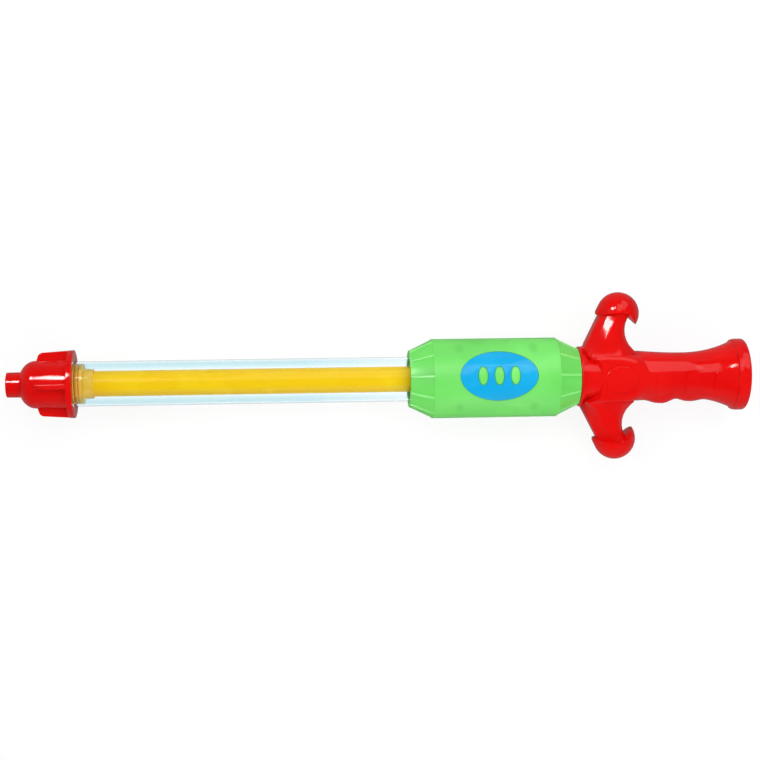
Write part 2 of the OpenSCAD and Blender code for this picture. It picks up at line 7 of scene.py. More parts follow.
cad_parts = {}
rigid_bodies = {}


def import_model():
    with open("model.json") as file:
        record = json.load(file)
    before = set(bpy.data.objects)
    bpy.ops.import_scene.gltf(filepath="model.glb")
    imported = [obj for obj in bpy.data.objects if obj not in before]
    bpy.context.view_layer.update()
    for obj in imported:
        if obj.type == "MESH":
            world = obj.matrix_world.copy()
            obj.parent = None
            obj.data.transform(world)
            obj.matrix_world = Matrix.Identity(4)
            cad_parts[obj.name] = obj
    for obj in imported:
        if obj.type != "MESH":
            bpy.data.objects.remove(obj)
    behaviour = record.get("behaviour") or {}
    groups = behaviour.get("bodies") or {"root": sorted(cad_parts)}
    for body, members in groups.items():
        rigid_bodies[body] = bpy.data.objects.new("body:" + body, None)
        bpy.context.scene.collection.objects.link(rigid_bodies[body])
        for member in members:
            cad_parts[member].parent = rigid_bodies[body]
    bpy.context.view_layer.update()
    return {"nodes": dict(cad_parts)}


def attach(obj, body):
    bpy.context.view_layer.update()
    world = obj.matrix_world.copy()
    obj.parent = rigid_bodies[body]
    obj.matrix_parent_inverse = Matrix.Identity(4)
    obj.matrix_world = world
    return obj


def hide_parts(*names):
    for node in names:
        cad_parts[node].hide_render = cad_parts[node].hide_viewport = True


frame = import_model()
print("frame loaded with", len(frame["nodes"]), "nodes")

mm = 0.001
axisZ = 31.0  # height of the barrel axis, mm
tipX = -288.55  # front of the spout, mm
sleeveX = 21.45  # front of the sleeve, mm
handleX = 154.55  # front of the handle's collar, mm
weldGap = 0.004  # points nearer than this become one, mm


# working with pieces

def restSelection():
    if bpy.context.object and bpy.context.object.mode != "OBJECT":
        bpy.ops.object.mode_set(mode="OBJECT")
    bpy.ops.object.select_all(action="DESELECT")


def holdPiece(piece):
    restSelection()
    piece.select_set(True)
    bpy.context.view_layer.objects.active = piece


def openPiece(piece, action="DESELECT"):
    holdPiece(piece)
    bpy.ops.object.mode_set(mode="EDIT")
    bpy.ops.mesh.select_mode(type="VERT")
    bpy.ops.mesh.select_all(action=action)


def closePiece():
    bpy.ops.object.mode_set(mode="OBJECT")


def pickPoints(piece, test):  # selects the points whose place in mm passes the test
    bpy.ops.mesh.select_all(action="DESELECT")
    form = bmesh.from_edit_mesh(piece.data)
    for point in form.verts:
        point.select_set(bool(test(point.co / mm)))
    form.select_flush_mode()
    bmesh.update_edit_mesh(piece.data)


def faceOutwards(piece):
    openPiece(piece, "SELECT")
    bpy.ops.mesh.remove_doubles(threshold=weldGap * mm)
    bpy.ops.mesh.normals_make_consistent(inside=False)
    closePiece()


def nameLast(name):
    piece = bpy.context.object
    piece.name = piece.data.name = name
    bpy.ops.object.transform_apply(location=True, rotation=True, scale=True)
    return piece


def copyPiece(piece, name):
    holdPiece(piece)
    bpy.ops.object.duplicate(linked=False)
    other = bpy.context.object
    other.name = other.data.name = name
    return other


def joinPieces(first, others):
    holdPiece(first)
    for other in others:
        other.select_set(True)
    bpy.ops.object.join()
    return first


def rollPiece(piece, degrees):  # turns about the barrel axis, as seen from the pommel
    openPiece(piece, "SELECT")
    bpy.ops.transform.rotate(value=-math.radians(degrees), orient_axis="X", orient_type="GLOBAL",
                             center_override=(0, 0, axisZ * mm))
    closePiece()


def softenEdges(piece, width, angle=32, segments=3):
    holdPiece(piece)
    bpy.ops.object.modifier_add(type="BEVEL")
    soft = piece.modifiers[-1]
    soft.width = width * mm
    soft.segments = segments
    soft.limit_method = "ANGLE"
    soft.angle_limit = math.radians(angle)
    bpy.ops.object.modifier_apply(modifier=soft.name)


def dropPiece(piece):
    holdPiece(piece)
    bpy.ops.object.delete()


def carvePiece(piece, tool, how="DIFFERENCE"):
    holdPiece(piece)
    bpy.ops.object.modifier_add(type="BOOLEAN")
    carve = piece.modifiers[-1]
    carve.operation = how
    carve.object = tool
    carve.solver = "EXACT"
    bpy.ops.object.modifier_apply(modifier=carve.name)
    dropPiece(tool)


def keepHalf(piece, side, gap):  # keeps what lies above or below the parting plane, closed there
    openPiece(piece, "SELECT")
    bpy.ops.mesh.bisect(plane_co=(0, 0, axisZ * mm + side * gap * mm), plane_no=(0, 0, 1), use_fill=False,
                        clear_inner=side > 0, clear_outer=side < 0)
    bpy.ops.mesh.select_all(action="SELECT")
    bpy.ops.mesh.fill_holes(sides=0)
    closePiece()
    faceOutwards(piece)


def smoothPiece(piece, angle=34):
    holdPiece(piece)
    bpy.ops.object.shade_smooth_by_angle(angle=math.radians(angle))


def turnPiece(name, profile, sides=96, closed=False):  # profile of (x, radius) in mm
    restSelection()
    x, r = profile[0]
    bpy.ops.mesh.primitive_circle_add(vertices=sides, radius=r * mm, fill_type="NOTHING",
                                      location=(x * mm, 0, axisZ * mm), rotation=(0, math.pi / 2, 0))
    piece = nameLast(name)
    openPiece(piece, "SELECT")
    for nextX, nextR in profile[1:]:
        bpy.ops.mesh.extrude_edges_move(TRANSFORM_OT_translate={"value": ((nextX - x) * mm, 0, 0)})
        bpy.ops.transform.resize(value=(1, nextR / r, nextR / r), orient_type="GLOBAL",
                                 center_override=(nextX * mm, 0, axisZ * mm))
        x, r = nextX, nextR
    bpy.ops.mesh.select_all(action="SELECT")
    if closed:
        bpy.ops.mesh.remove_doubles(threshold=weldGap * mm)
    else:
        bpy.ops.mesh.fill_holes(sides=0)
    closePiece()
    faceOutwards(piece)
    return piece


def ovalBar(name, centre, length, width, low, high, sides=64):  # upright bar of oval section, mm
    restSelection()
    bpy.ops.mesh.primitive_circle_add(vertices=sides, radius=0.5 * mm, fill_type="NGON",
                                      location=(centre[0] * mm, centre[1] * mm, low * mm))
    bar = nameLast(name)
    openPiece(bar, "SELECT")
    bpy.ops.transform.resize(value=(length, width, 1),
                             center_override=(centre[0] * mm, centre[1] * mm, low * mm))
    bpy.ops.mesh.extrude_region_move(TRANSFORM_OT_translate={"value": (0, 0, (high - low) * mm)})
    closePiece()
    faceOutwards(bar)
    return bar


def blockPiece(name, low, high):  # cube primitive fitted between two corners, mm
    restSelection()
    middle = [(a + b) / 2 * mm for a, b in zip(low, high)]
    bpy.ops.mesh.primitive_cube_add(size=1, location=middle)
    bpy.context.object.scale = [(b - a) * mm for a, b in zip(low, high)]
    return nameLast(name)


def splitShells(forms, names, gap, roll, smooth, added=None):  # forms become an upper and a lower shell
    shells = []
    for side, name in zip((1, -1), names):
        halves = [copyPiece(form, name) for form in forms]
        for half in halves:
            keepHalf(half, side, gap)
        if added:
            halves.append(added(side))
        shell = joinPieces(halves[0], halves[1:])
        shell.name = shell.data.name = name
        rollPiece(shell, roll)
        smoothPiece(shell, smooth)
        shells.append(shell)
    for form in forms:
        dropPiece(form)
    return shells


# nozzle cap

capSizes = {"length": 51.8, "spoutR": 9.8, "spoutL": 11.0, "tipDraft": 0.15, "jetR": 2.0, "jetL": 3.0,
            "domeL": 10.7, "domeStep": 0.5, "domeCurve": 1.6, "domeSteps": 12, "frontR": 18.35, "backR": 19.5,
            "flangeR": 26.3, "flangeT": 4.6, "flangeDraft": 0.3, "socketR": 17.35, "floor": 23.3,
            "chamberR": 15.3, "chamberX": 20.7, "waterR": 6.95, "waterX": 12.0, "soft": 0.8, "roll": 5.0}
finSizes = {"count": 4, "thick": 3.5, "front": 22.7, "footR": 17.6, "lowR": 24.4, "topGap": 0.4, "sink": 0.6,
            "lean": 2.2, "round": 2.6, "soft": 0.55}


def makeCapFin():
    c, f = capSizes, finSizes
    flangeX = tipX + c["length"] - c["flangeT"]
    topR = c["flangeR"] - f["topGap"]
    fin = blockPiece("capFin", (tipX + f["front"], -f["thick"] / 2, axisZ + f["footR"]),
                     (flangeX + f["sink"], f["thick"] / 2, axisZ + topR))
    openPiece(fin)
    pickPoints(fin, lambda p: p.x < flangeX and p.z > axisZ + c["backR"])  # front top edge leans back and down
    bpy.ops.transform.translate(value=(f["lean"] * mm, 0, (f["lowR"] - topR) * mm))
    bpy.ops.mesh.select_mode(type="EDGE")
    bpy.ops.mesh.bevel(offset=f["round"] * mm, segments=5, affect="EDGES")
    closePiece()
    softenEdges(fin, f["soft"], angle=40)
    return fin


def makeNozzleCap():
    c = capSizes
    dome = []
    domeFoot = c["spoutR"] + c["domeStep"]
    for i in range(c["domeSteps"] + 1):
        a = math.pi / 2 * i / c["domeSteps"]
        dome.append((c["spoutL"] + c["domeL"] * (1 - math.cos(a)),
                     domeFoot + (c["frontR"] - domeFoot) * math.sin(a) ** c["domeCurve"]))
    flangeX = c["length"] - c["flangeT"]
    outside = [(0, c["jetR"]), (0, c["spoutR"] - c["tipDraft"]), (c["spoutL"], c["spoutR"])] + dome
    outside += [(flangeX, c["backR"]), (flangeX, c["flangeR"] - c["flangeDraft"]), (c["length"], c["flangeR"])]
    inside = [(c["length"], c["socketR"]), (c["floor"], c["socketR"]), (c["floor"], c["chamberR"]),
              (c["chamberX"], c["chamberR"]), (c["waterX"], c["waterR"]), (c["jetL"], c["waterR"]),
              (c["jetL"], c["jetR"]), (0, c["jetR"])]
    cap = turnPiece("nozzleCap", [(tipX + x, r) for x, r in outside + inside], sides=112, closed=True)
    softenEdges(cap, c["soft"], angle=28)
    fins = [makeCapFin()]
    for i in range(1, finSizes["count"]):
        other = copyPiece(fins[0], "capFin")
        rollPiece(other, 360 / finSizes["count"] * i)
        fins.append(other)
    joinPieces(cap, fins)
    rollPiece(cap, c["roll"])
    smoothPiece(cap)
    return cap


# barrel tube, plunger rod and piston

barrelSizes = {"front": -263.75, "back": 144.55, "outR": 17.3, "inR": 15.9, "ringGap": 1.0, "soft": 0.3}
rodSizes = {"front": -238.65, "back": 208.55, "outR": 10.0, "inR": 8.5, "ringGap": 1.0, "soft": 0.3}
pistonSizes = {"front": -262.15, "length": 32.5, "hubL": 7.6, "hubR": 11.8, "hubDraft": 0.4, "landR": 15.6,
               "landT": 3.0, "grooveR": 12.34, "grooveW": 3.6, "waistR": 11.2, "boreR": 10.05, "socketL": 9.0,
               "screwR": 3.2, "soft": 0.35}


def pipePiece(name, sizes, sides):  # rings near both ends keep the long walls straight in the light
    front, back, inR, outR, gap = [sizes[label] for label in ("front", "back", "inR", "outR", "ringGap")]
    outside = [(front, outR), (front + gap, outR), (back - gap, outR), (back, outR)]
    inside = [(back, inR), (back - gap, inR), (front + gap, inR), (front, inR)]
    pipe = turnPiece(name, [(front, inR)] + outside + inside, sides=sides, closed=True)
    softenEdges(pipe, sizes["soft"])
    smoothPiece(pipe)
    return pipe


def sealSeat(x):  # two lands with the groove of a rubber ring between them
    p = pistonSizes
    groove = x + p["landT"]
    grooveEnd = groove + p["grooveW"]
    return [(x, p["landR"]), (groove, p["landR"]), (groove, p["grooveR"]), (grooveEnd, p["grooveR"]),
            (grooveEnd, p["landR"]), (grooveEnd + p["landT"], p["landR"])]


def makePistonHead():
    p = pistonSizes
    back, hubEnd, socket = p["length"], p["length"] + p["hubL"], p["length"] - p["socketL"]
    seatL = 2 * p["landT"] + p["grooveW"]
    profile = [(0, p["screwR"])] + sealSeat(0) + [(seatL, p["waistR"]), (back - seatL, p["waistR"])]
    profile += sealSeat(back - seatL) + [(back, p["hubR"]), (hubEnd, p["hubR"] - p["hubDraft"])]
    profile += [(hubEnd, p["boreR"]), (socket, p["boreR"]), (socket, p["screwR"]), (0, p["screwR"])]
    piston = turnPiece("pistonHead", [(p["front"] + x, r) for x, r in profile], sides=112, closed=True)
    softenEdges(piston, p["soft"])
    smoothPiece(piston)
    return piston


# foregrip sleeve and inlays

sleeveSizes = {"length": 132.7, "outR": 31.0, "endR": 22.4, "coneL": 17.3, "rim": 0.8, "tubeR": 17.35,
               "rodR": 10.6, "endWall": 9.6, "partGap": 0.06, "soft": 0.45, "roll": -3.0}
ribSizes = {"height": 0.6, "thick": 1.6, "count": 5, "pitch": 33.0, "sink": 1.0, "front": 0.1, "past": 0.6,
            "soft": 0.25, "footL": 1.0, "footLift": 0.2}
inlaySizes = {"length": 60.0, "width": 37.5, "shift": 1.0, "floorR": 29.4, "topR": 30.8, "gap": 0.25,
              "soft": 0.35}
windowSizes = {"length": 8.0, "width": 14.8, "pitch": 12.5, "studGap": 0.6, "studDrop": 0.1, "soft": 0.3}
barReach = {"low": 20.0, "studLow": 24.0, "high": 40.0, "core": 45.0}  # of the bars and cores that cut, mm
sleeveMiddle = sleeveX + sleeveSizes["length"] / 2
inlayMiddle = sleeveMiddle + inlaySizes["shift"]


def sleeveCore(name, r):  # round bar along the sleeve under an inlay
    reach = barReach["core"]
    return turnPiece(name, [(inlayMiddle - reach, r), (inlayMiddle + reach, r)], sides=192)


def makeConeRibs():
    s, r = sleeveSizes, ribSizes
    rib = blockPiece("coneRib", (sleeveX + r["front"], -r["thick"] / 2, axisZ + s["endR"] - r["sink"]),
                     (sleeveX + s["coneL"] + r["past"], r["thick"] / 2, axisZ + s["endR"] + r["height"]))
    openPiece(rib)
    pickPoints(rib, lambda p: p.x > sleeveX + s["coneL"] / 2)  # the back end climbs the cone
    bpy.ops.transform.translate(value=(0, 0, (s["outR"] - s["endR"] - r["height"]) * mm))
    closePiece()
    softenEdges(rib, r["soft"], angle=40)
    ribs = []
    for half in (0, 180):
        for n in range(r["count"]):
            other = copyPiece(rib, "coneRib")
            rollPiece(other, half + r["pitch"] * (n - (r["count"] - 1) / 2))
            ribs.append(other)
    dropPiece(rib)
    frontRibs = joinPieces(ribs[0], ribs[1:])
    backRibs = copyPiece(frontRibs, "coneRib")
    openPiece(backRibs, "SELECT")
    bpy.ops.transform.resize(value=(-1, 1, 1), center_override=(sleeveMiddle * mm, 0, axisZ * mm))
    closePiece()
    faceOutwards(backRibs)
    return joinPieces(frontRibs, [backRibs])


def makeStud(side, n):  # fills a window of the inlay
    w = windowSizes
    stud = ovalBar("stud", (inlayMiddle + n * w["pitch"], 0), w["length"] - 2 * w["studGap"],
                   w["width"] - 2 * w["studGap"], axisZ + side * barReach["studLow"],
                   axisZ + side * barReach["high"], sides=40)
    carvePiece(stud, sleeveCore("studCrown", sleeveSizes["outR"] - w["studDrop"]), "INTERSECT")
    softenEdges(stud, w["soft"], angle=40)
    return stud


def makeSleeve():
    s, i = sleeveSizes, inlaySizes
    shoulder, cone, back = s["outR"] - ribSizes["height"], s["coneL"], s["length"]
    frontEnd = [(0, s["tubeR"]), (0, s["endR"]), (s["rim"], s["endR"]), (cone, shoulder), (cone, s["outR"])]
    backEnd = [(back - cone, s["outR"]), (back - cone, shoulder), (back - s["rim"], s["endR"]),
               (back, s["endR"]), (back, s["rodR"])]
    inside = [(back - s["endWall"], s["rodR"]), (back - s["endWall"], s["tubeR"]), (0, s["tubeR"])]
    profile = [(sleeveX + x, r) for x, r in frontEnd + backEnd + inside]
    sleeve = turnPiece("sleeveForm", profile, sides=192, closed=True)
    softenEdges(sleeve, s["soft"], angle=20)
    for side in (1, -1):  # oval recess for an inlay on both sides
        recess = ovalBar("recess", (inlayMiddle, 0), i["length"] + 2 * i["gap"], i["width"] + 2 * i["gap"],
                         axisZ + side * barReach["low"], axisZ + side * barReach["high"], sides=96)
        carvePiece(recess, sleeveCore("recessCore", i["floorR"]))
        carvePiece(sleeve, recess)
    studs = [makeStud(side, n) for side in (1, -1) for n in (-1, 0, 1)]
    trim = joinPieces(makeConeRibs(), studs)
    return splitShells([sleeve, trim], ("sleeveUpperShell", "sleeveLowerShell"), s["partGap"], s["roll"],
                       smooth=24)


def makeInlay(side):
    i, w = inlaySizes, windowSizes
    low, high = axisZ + side * barReach["low"], axisZ + side * barReach["high"]
    plate = ovalBar("inlayUpper" if side > 0 else "inlayLower", (inlayMiddle, 0), i["length"], i["width"],
                    low, high, sides=112)
    carvePiece(plate, sleeveCore("plateSkin", i["topR"]), "INTERSECT")
    carvePiece(plate, sleeveCore("plateCore", i["floorR"]))
    for n in (-1, 0, 1):
        window = ovalBar("window", (inlayMiddle + n * w["pitch"], 0), w["length"], w["width"], low, high,
                         sides=48)
        carvePiece(plate, window)
    softenEdges(plate, i["soft"], angle=40)
    rollPiece(plate, sleeveSizes["roll"])
    smoothPiece(plate, angle=30)
    return plate


# sword handle

handleSizes = {"length": 132.8, "boreR": 10.0, "collarR": 23.3, "collarL": 1.8, "hubR": 20.0, "hubEnd": 18.0,
               "hubFade": 6.0, "gripR": 19.7, "gripX": 48.0, "neckR": 17.9, "neckX": 82.7, "flareR": 26.1,
               "flareX": 122.2, "flareCurve": 2.2, "pommelR": 28.2, "pommelEdge": 1.8, "pommelDome": 0.4,
               "partGap": 0.08, "roll": 9.0}
rimSizes = {"collarFront": ((0, 0.5), (0.15, 0.15), (0.5, 0)), "collarBack": ((0.4, 0), (0.1, 0.1), (0, 0.4)),
            "brim": ((0, 1.9), (0.9, 0.62), (2.2, 0.25), (3.4, 0))}  # steps along the axis and below the edge
medalSizes = {"x": 31.2, "length": 25.4, "width": 21.0, "top": 21.1, "soft": 0.5}
waveSizes = {"waves": ((60.5, 20.4, 8.0), (68.3, 22.2, 12.5), (89.2, 20.9, 12.5), (111.5, 21.9, 12.5)),
             "halfWidth": 1.6, "depth": 1.2}  # each wave has its place, reach and spread
padSizes = {"places": (65.6, 89.2, 111.5), "half": 6.8, "top": 8.0, "drop": 12.0, "rise": 0.7, "margin": 1.1,
            "depth": 40.0, "soft": 0.6}
armSizes = {"root": 0.6, "leftFoot": (4.4, 23.3), "leftTop": (16.3, 48.5), "cutX": 55.9, "cutY": 37.3,
            "cutR": 20.3, "leastDrop": 112.0, "lean": (1.9, 0.6), "rightLean": 0.6, "thick": 5.4, "soft": 0.6,
            "places": (6, 10, 14, 16.5, 18, 19.5, 21, 23.2, 23.3, 25.5, 28, 31, 34, 37, 40, 43, 46, 48.5, 52)}
faceSizes = {"base": 4.8, "near": 0.01,
             "hub": ((0, 8.0, 77.6, 20.3, 9.0), (6, 7.6, 67.6, 20.25, 9.0), (12, 6.9, 59.2, 20.0, 9.0),
                     (15.4, 5.4, 53.0, 19.5, 8.2), (17.2, 3.4, 49.5, 18.9, 5.4)),  # y, left, right, top, turn
             "crest": ((18.2, 17.8, 3.2), (19.6, 17.3, 4.4), (22, 16.4, 7.0), (26, 15.5, 9.8),
                       (30, 14.7, 10.4), (34, 14.0, 10.6), (38, 13.3, 10.8), (42, 12.6, 11.3),
                       (46, 12.0, 11.8), (51, 11.5, 12.2)),  # y, top, turn
             "flank": ((0, 0), (0, 0.12), (0.04, 0.17), (0.42, 0.585), (0.5, 0.655), (0.9, 0.935),
                       (0.96, 0.975), (1, 1)),
             "panel": ((0.15, 1), (0.45, 0.975), (0.6, 0.95), (0.66, 0.925), (0.72, 0.88), (0.97, 0.36),
                       (1, 0.26), (1, 0))}
ballSizes = {"x": {1: 31.4, -1: 30.4}, "reach": 49.8, "r": 16.5, "floor": 48.8, "soft": 0.7,
             "lipReach": 1.2, "lipLift": 0.4, "lipDepth": 0.6, "lipHeight": 3.0, "lipSpread": 7.0}
hookSizes = {"arch": 48.8, "lip": 1.6, "inset": 1.0, "flat": (5.1, 0.2), "notch": (8.3, 2.9),
             "beak": (15.8, 9.5), "half": 24.0, "keep": 20.0, "depth": 60.0}


def handleProfile():
    h, rim = handleSizes, rimSizes
    collar = [(0, h["boreR"])] + [(x, h["collarR"] - drop) for x, drop in rim["collarFront"]]
    collar += [(h["collarL"] - back, h["collarR"] - drop) for back, drop in rim["collarBack"]]
    hub = [(h["collarL"], h["hubR"]), (h["hubEnd"], h["hubR"]), (h["hubEnd"] + h["hubFade"], h["gripR"]),
           (h["gripX"], h["gripR"])]
    waist = []
    for t in [i / 12 for i in range(1, 12)]:  # the grip narrows in a soft curve
        waist.append((h["gripX"] + (h["neckX"] - h["gripX"]) * t,
                      h["gripR"] + (h["neckR"] - h["gripR"]) * math.sin(math.pi / 2 * t)))
    waist.append((h["neckX"], h["neckR"]))
    flare = []
    for t in [i / 16 for i in range(1, 17)]:
        flare.append((h["neckX"] + (h["flareX"] - h["neckX"]) * t,
                      h["neckR"] + (h["flareR"] - h["neckR"]) * t ** h["flareCurve"]))
    brim = [(h["flareX"] + x, h["pommelR"] - drop) for x, drop in rim["brim"]]
    edge, domeR = h["pommelEdge"], h["pommelR"] - h["pommelEdge"]
    crown = [(h["length"] - h["pommelDome"] - edge * (1 - math.sin(a)), domeR + edge * math.cos(a))
             for a in [math.radians(18 * i) for i in range(5)]]
    crown += [(h["length"] - h["pommelDome"] * t * t, domeR * t) for t in [1 - i / 16 for i in range(16)]]
    return collar + hub + waist + flare + brim + crown


handleSteps = handleProfile()
gripSteps = [step for step in handleSteps if step[0] > handleSizes["collarL"]]


def gripRadius(x):
    for (x0, r0), (x1, r1) in zip(gripSteps, gripSteps[1:]):
        if x0 <= x <= x1:
            return r0 + (r1 - r0) * (x - x0) / (x1 - x0)


def makeHandleCore():
    w = waveSizes
    core = turnPiece("handleForm", [(handleX + x, r) for x, r in handleSteps], sides=144)
    for place, reach, spread in w["waves"]:  # a soft wave is drawn out under each finger

        def onWave(point):
            x = point.x - handleX
            return abs(x - place) < w["halfWidth"] and point.y < w["depth"] - gripRadius(x)
        openPiece(core)
        pickPoints(core, onWave)
        bpy.ops.transform.translate(value=(0, (gripRadius(place) - reach) * mm, 0), use_proportional_edit=True,
                                    proportional_edit_falloff="SMOOTH", proportional_size=spread * mm)
        closePiece()
    faceOutwards(core)
    return core


def makeFingerPads():  # low pads with round upper ends
    p = padSizes
    pads = []
    for place in p["places"]:
        steps = [place + p["half"] * (i / 8 - 1) * p["margin"] for i in range(17)]
        pad = turnPiece("fingerPad", [(handleX + x, gripRadius(x) + p["rise"]) for x in steps], sides=144)
        outline = ovalBar("padOutline", (handleX + place, p["top"] - p["drop"]), 2 * p["half"], 2 * p["drop"],
                          axisZ - p["depth"], axisZ + p["depth"], sides=72)
        carvePiece(pad, outline, "INTERSECT")
        softenEdges(pad, p["soft"], angle=40)
        pads.append(pad)
    return pads


def armEdges(y, side):  # left and right edge of a guard arm at a distance from the axis
    a = armSizes
    (x0, y0), (x1, y1) = a["leftFoot"], a["leftTop"]
    left = x0 + (x1 - x0) * max(0.0, (y - y0) / (y1 - y0))
    drop = a["cutR"] ** 2 - (y - a["cutY"]) ** 2
    right = a["cutX"] - math.sqrt(max(drop, a["leastDrop"]))
    near, far = a["lean"] if side < 0 else (0.0, 0.0)  # the lower arm stands a little nearer the sleeve
    lean = far + (near - far) * max(0.0, min(1.0, (y1 - y) / (y1 - y0)))
    return left - lean, right - a["rightLean"] * lean


def makeGuardArm(side):
    a = armSizes
    places = a["places"]
    edges = []
    for y in places:
        left, right = armEdges(y, side)
        edges.append((a["root"] if y < a["leftFoot"][1] else left, right))
    left, right = edges[0]
    width, middle = right - left, (left + right) / 2
    restSelection()
    bpy.ops.mesh.primitive_plane_add(size=1 * mm, location=(0, 0, 0), rotation=(math.pi / 2, 0, 0))
    arm = nameLast("guardArm")
    openPiece(arm, "SELECT")
    bpy.ops.mesh.delete(type="ONLY_FACE")
    bpy.ops.mesh.select_all(action="SELECT")
    bpy.ops.transform.resize(value=(width, 1, 2 * a["thick"]), center_override=(0, 0, 0))
    bpy.ops.transform.translate(value=((handleX + middle) * mm, side * places[0] * mm, axisZ * mm))
    for last, y, (left, right) in zip(places, places[1:], edges[1:]):
        newWidth, newMiddle = right - left, (left + right) / 2
        bpy.ops.mesh.extrude_edges_move(
            TRANSFORM_OT_translate={"value": ((newMiddle - middle) * mm, side * (y - last) * mm, 0)})
        bpy.ops.transform.resize(value=(newWidth / width, 1, 1), orient_type="GLOBAL",
                                 center_override=((handleX + newMiddle) * mm, side * y * mm, axisZ * mm))
        width, middle = newWidth, newMiddle
    bpy.ops.mesh.select_all(action="SELECT")
    bpy.ops.mesh.fill_holes(sides=0)
    closePiece()
    faceOutwards(arm)
    softenEdges(arm, a["soft"], angle=50)
    return arm


def makeGuardFace(side):  # raised face of the guard, from ball to ball across the medallion
    f = faceSizes
    near = f["near"]
    upper = [(y,) + armEdges(y, 1) + (crest, turn) for y, crest, turn in f["crest"]]
    lower = [(-y,) + armEdges(y, -1) + (crest, turn) for y, crest, turn in reversed(f["crest"])]
    steps = lower + [(-step[0],) + step[1:] for step in reversed(f["hub"][1:])] + list(f["hub"]) + upper
    section = list(f["flank"]) + [(1 + u, v) for u, v in f["panel"]]  # flank and panel are one unit wide each
    restSelection()
    bpy.ops.mesh.primitive_plane_add(size=1 * mm)
    face = nameLast("guardFace")
    openPiece(face, "SELECT")
    bpy.ops.mesh.merge(type="CENTER")
    for (u0, v0), (u1, v1) in zip(section, section[1:]):  # the point is drawn out along the section
        bpy.ops.mesh.extrude_vertices_move(
            TRANSFORM_OT_translate={"value": ((u1 - u0) * mm, 0, side * (v1 - v0) * mm)})
    pickPoints(face, lambda point: abs(point.z) < near)
    bpy.ops.mesh.edge_face_add()
    bpy.ops.mesh.select_all(action="SELECT")
    base = axisZ + side * f["base"]
    last = {"place": (0.0, 0.0, 0.0), "height": 1.0, "turn": 1.0, "panel": 1.0}
    for n, (y, left, right, crest, turn) in enumerate(steps):
        step = {"place": (handleX + left, y, base), "height": crest - f["base"], "turn": turn,
                "panel": right - left - turn}
        move = tuple((a - b) * mm for a, b in zip(step["place"], last["place"]))
        if n:
            bpy.ops.mesh.extrude_edges_move(TRANSFORM_OT_translate={"value": move})
        else:
            bpy.ops.transform.translate(value=move)
        bpy.ops.transform.resize(value=(1, 1, step["height"] / last["height"]), orient_type="GLOBAL",
                                 center_override=[c * mm for c in step["place"]])
        ridge = step["place"][0] + last["turn"]
        parts = (("panel", 1), ("turn", -1)) if turn >= last["turn"] else (("turn", -1), ("panel", 1))
        for part, beyond in parts:  # flank and panel are widened on their own sides of the ridge
            pickPoints(face, lambda point: (abs(point.y - y) < near
                                            and beyond * (point.x - ridge - near / 2) > 0))
            bpy.ops.transform.resize(value=(step[part] / last[part], 1, 1), orient_type="GLOBAL",
                                     center_override=(ridge * mm, y * mm, base * mm))
            bpy.ops.transform.translate(value=((turn - last["turn"]) * mm, 0, 0))
        pickPoints(face, lambda point: abs(point.y - y) < near)
        last = step
    bpy.ops.mesh.select_all(action="SELECT")
    bpy.ops.mesh.fill_holes(sides=0)
    closePiece()
    faceOutwards(face)
    return face


def makeHookTool(side):  # hollows the inner side of a guard ball to its hooked shape
    b, h = ballSizes, hookSizes
    ballX, floor = handleX + b["x"][side], b["floor"]
    path = [(-2 * b["r"], floor + h["lip"]), (h["inset"] - b["r"], floor),
            (h["flat"][0], floor + h["flat"][1]), (h["notch"][0], floor - h["notch"][1]),
            (h["beak"][0], floor - h["beak"][1]), (2 * b["r"], floor - h["beak"][1])]
    startX, startY = path[0]
    restSelection()
    bpy.ops.mesh.primitive_circle_add(
        vertices=160, radius=h["arch"] * mm, fill_type="NOTHING", rotation=(0, math.pi / 2, 0),
        location=((ballX + startX) * mm, side * (startY + h["arch"]) * mm, axisZ * mm))
    tool = nameLast("hookTool")
    openPiece(tool)
    pickPoints(tool, lambda p: abs(p.z - axisZ) > h["half"] or side * p.y > startY + h["keep"])
    bpy.ops.mesh.delete(type="VERT")
    bpy.ops.mesh.select_all(action="SELECT")  # an arched edge is left, which is drawn along the path
    for (x0, y0), (x1, y1) in zip(path, path[1:]):
        bpy.ops.mesh.extrude_edges_move(
            TRANSFORM_OT_translate={"value": ((x1 - x0) * mm, side * (y1 - y0) * mm, 0)})
    bpy.ops.mesh.select_all(action="SELECT")
    bpy.ops.mesh.extrude_region_move(TRANSFORM_OT_translate={"value": (0, -side * h["depth"] * mm, 0)})
    closePiece()
    faceOutwards(tool)
    return tool


def makeGuardBall(side):
    b = ballSizes
    ballX = handleX + b["x"][side]
    lipX, lipY = ballX - b["r"] + b["lipDepth"], b["floor"] + b["lipHeight"]
    restSelection()
    bpy.ops.mesh.primitive_uv_sphere_add(segments=96, ring_count=48, radius=b["r"] * mm,
                                         location=(ballX * mm, side * b["reach"] * mm, axisZ * mm))
    ball = nameLast("guardBall")
    openPiece(ball)
    pickPoints(ball, lambda p: p.x < lipX and side * p.y < lipY)  # a small lip on the front side
    bpy.ops.transform.translate(value=(-b["lipReach"] * mm, side * b["lipLift"] * mm, 0),
                                use_proportional_edit=True, proportional_edit_falloff="SHARP",
                                proportional_size=b["lipSpread"] * mm)
    closePiece()
    carvePiece(ball, makeHookTool(side))
    softenEdges(ball, b["soft"], angle=36, segments=4)
    return ball


